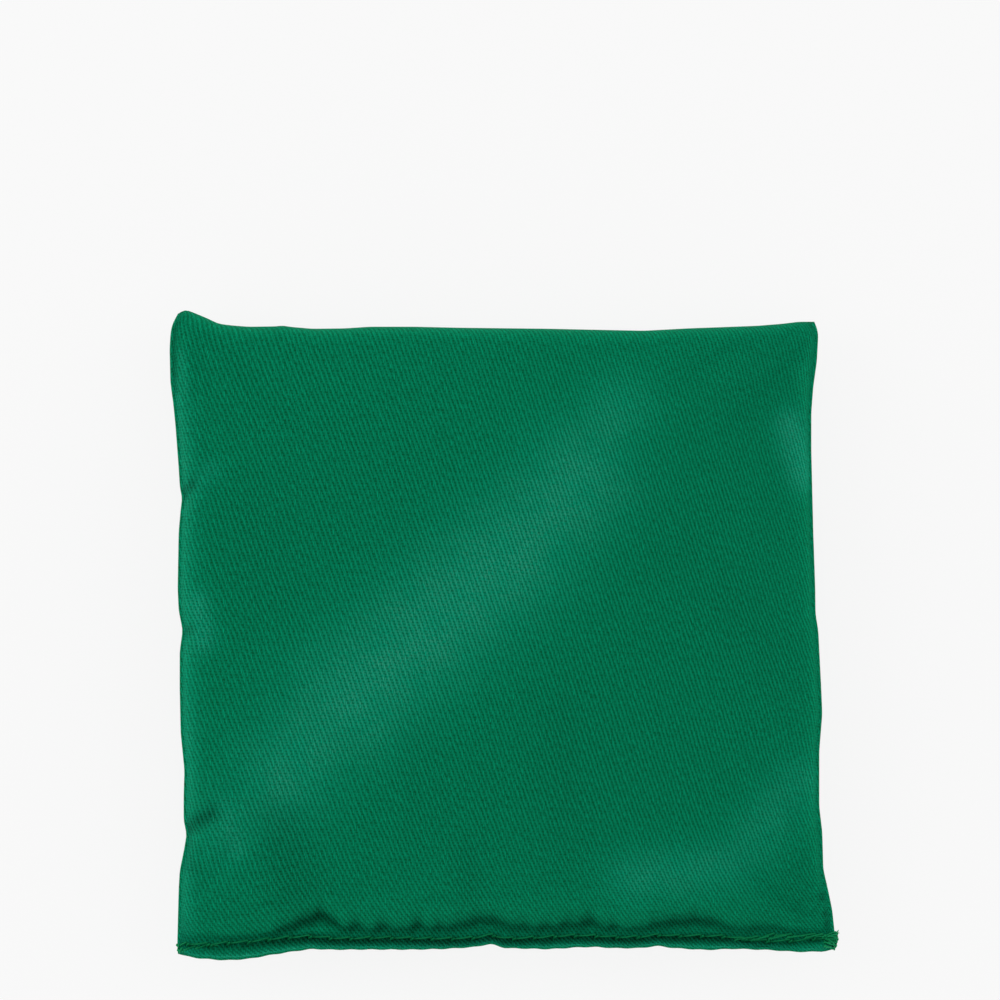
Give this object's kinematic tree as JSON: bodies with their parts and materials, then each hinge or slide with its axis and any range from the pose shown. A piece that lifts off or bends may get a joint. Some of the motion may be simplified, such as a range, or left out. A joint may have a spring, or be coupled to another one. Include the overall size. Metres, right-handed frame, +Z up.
{
  "type": "toss bean bag",
  "caption": "Square cloth toss bag with loose filling: a folded twill cover, inside-out side seams and a topstitched closing seam.",
  "frame": {"origin": "centre of the flat underside, on the surface that the bag lies on", "axes": "+Z up through the bag, +Y from the closing seam to the folded top, +X to the right seen from above"},
  "size_m": [0.1354, 0.132, 0.02],
  "materials": {
    "cover_twill": "matte",
    "seam_thread": "satin",
    "filling_pellets": "satin"
  },
  "bodies": {
    "root": {"cover": "cover_twill", "left_seam_needle_thread": "seam_thread", "left_seam_bobbin_thread": "seam_thread", "right_seam_needle_thread": "seam_thread", "right_seam_bobbin_thread": "seam_thread", "closing_seam_needle_thread": "seam_thread", "closing_seam_bobbin_thread": "seam_thread", "filling": "filling_pellets"}
  },
  "joints": []
}
